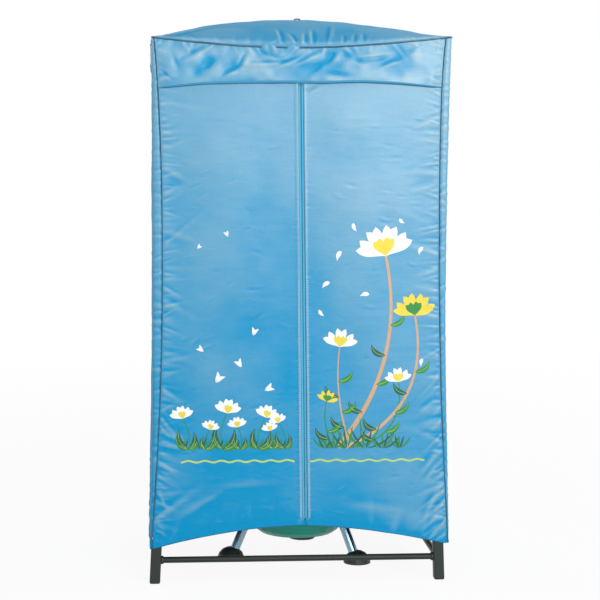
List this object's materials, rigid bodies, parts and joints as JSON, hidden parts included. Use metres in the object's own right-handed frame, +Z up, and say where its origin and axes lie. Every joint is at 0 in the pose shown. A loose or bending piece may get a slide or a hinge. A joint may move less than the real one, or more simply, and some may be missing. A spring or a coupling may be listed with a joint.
{
  "type": "portable clothes dryer",
  "caption": "Free-standing fabric clothes dryer: zipped blue cover with two front doors on a tube frame, over a round warm-air blower.",
  "frame": {"origin": "on the floor, under the middle of the object", "axes": "+Z up, front with the zipped doors towards -Y, +X to the right as seen from the front"},
  "size_m": [0.763, 0.547, 1.4405],
  "materials": {
    "cover_cloth": "light blue coated cloth with a satin sheen",
    "piping_cord": "dark blue woven binding",
    "zip_tape": "blue woven zip tape",
    "zip_metal": "dark enamelled zip slider",
    "black_plastic": "black moulded plastic",
    "black_steel": "black painted tube",
    "tube_steel": "plain steel",
    "leg_steel": "bright steel tube",
    "blower_green": "teal green moulded housing",
    "white_plastic": "white moulded plastic",
    "red_plastic": "red translucent plastic",
    "heater_fins": "finned heater block"
  },
  "bodies": {
    "stand": {"foot_front_left": "black_plastic", "foot_front_right": "black_plastic", "foot_back_left": "black_plastic", "foot_back_right": "black_plastic", "top_corner_front_left": "black_plastic", "top_corner_front_right": "black_plastic", "top_corner_back_left": "black_plastic", "top_corner_back_right": "black_plastic", "outlet_grille": "black_plastic", "intake_grille": "black_plastic", "control_panel": "black_plastic", "cord_gland": "black_plastic", "leg_foot_left": "black_plastic", "leg_foot_right": "black_plastic", "leg_foot_back": "black_plastic", "base_rail_front": "black_steel", "base_rail_back": "black_steel", "base_rail_left": "black_steel", "base_rail_right": "black_steel", "post_front_left": "tube_steel", "post_front_right": "tube_steel", "post_back_left": "tube_steel", "post_back_right": "tube_steel", "top_rail_front": "tube_steel", "top_rail_back": "tube_steel", "top_rail_left": "tube_steel", "top_rail_right": "tube_steel", "clothes_rod_1": "tube_steel", "clothes_rod_2": "tube_steel", "clothes_rod_3": "tube_steel", "motor": "tube_steel", "motor_bracket": "tube_steel", "heater_frame": "tube_steel", "blower_leg_left": "leg_steel", "blower_leg_right": "leg_steel", "blower_leg_back": "leg_steel", "blower_bowl": "blower_green", "blower_shell": "blower_green", "heater_core": "heater_fins", "timer_body": "white_plastic", "indicator_lamp": "red_plastic", "cover_back": "cover_cloth", "cover_left": "cover_cloth", "cover_right": "cover_cloth", "cover_top": "cover_cloth", "front_valance": "cover_cloth", "piping_front": "piping_cord", "piping_back": "piping_cord", "top_loop": "piping_cord", "zip_head_tape": "zip_tape"},
    "left_door": {"door_left": "cover_cloth", "zip_tape_left": "zip_tape"},
    "right_door": {"door_right": "cover_cloth", "zip_tape_right": "zip_tape"},
    "slider": {"zip_slider": "zip_metal"},
    "pull_tab": {"zip_pull": "zip_metal"},
    "fan": {"motor_shaft": "tube_steel", "fan_impeller": "black_plastic"},
    "timer": {"timer_knob": "white_plastic"},
    "rocker": {"power_switch": "red_plastic"}
  },
  "joints": [
    {"name": "left_door_hinge", "type": "hinge", "parent": "stand", "child": "left_door", "pos_m": [-0.377, -0.26575, 0.68], "axis": [0, 0, -1], "range_deg": [0, 110]},
    {"name": "right_door_hinge", "type": "hinge", "parent": "stand", "child": "right_door", "pos_m": [0.377, -0.26575, 0.68], "axis": [0, 0, 1], "range_deg": [0, 110]},
    {"name": "zip_slide", "type": "slide", "parent": "stand", "child": "slider", "axis": [0.0181, 0, -0.9998], "range_m": [0, 1.11]},
    {"name": "pull_swing", "type": "hinge", "parent": "slider", "child": "pull_tab", "pos_m": [-0.0047, -0.2677, 1.30809], "axis": [0, 1, 0], "range_deg": [-35, 35]},
    {"name": "fan_spin", "type": "hinge", "parent": "stand", "child": "fan", "pos_m": [0.022, 0.043, 0.105], "axis": [0, 0, 1], "continuous": true},
    {"name": "timer_turn", "type": "hinge", "parent": "stand", "child": "timer", "pos_m": [-0.03753, -0.13334, 0.169], "axis": [0.1736, 0.9848, 0], "range_deg": [0, 300]},
    {"name": "switch_rock", "type": "hinge", "parent": "stand", "child": "rocker", "pos_m": [0.00187, -0.14029, 0.169], "axis": [0.9848, -0.1736, 0], "range_deg": [0, 12]}
  ]
}
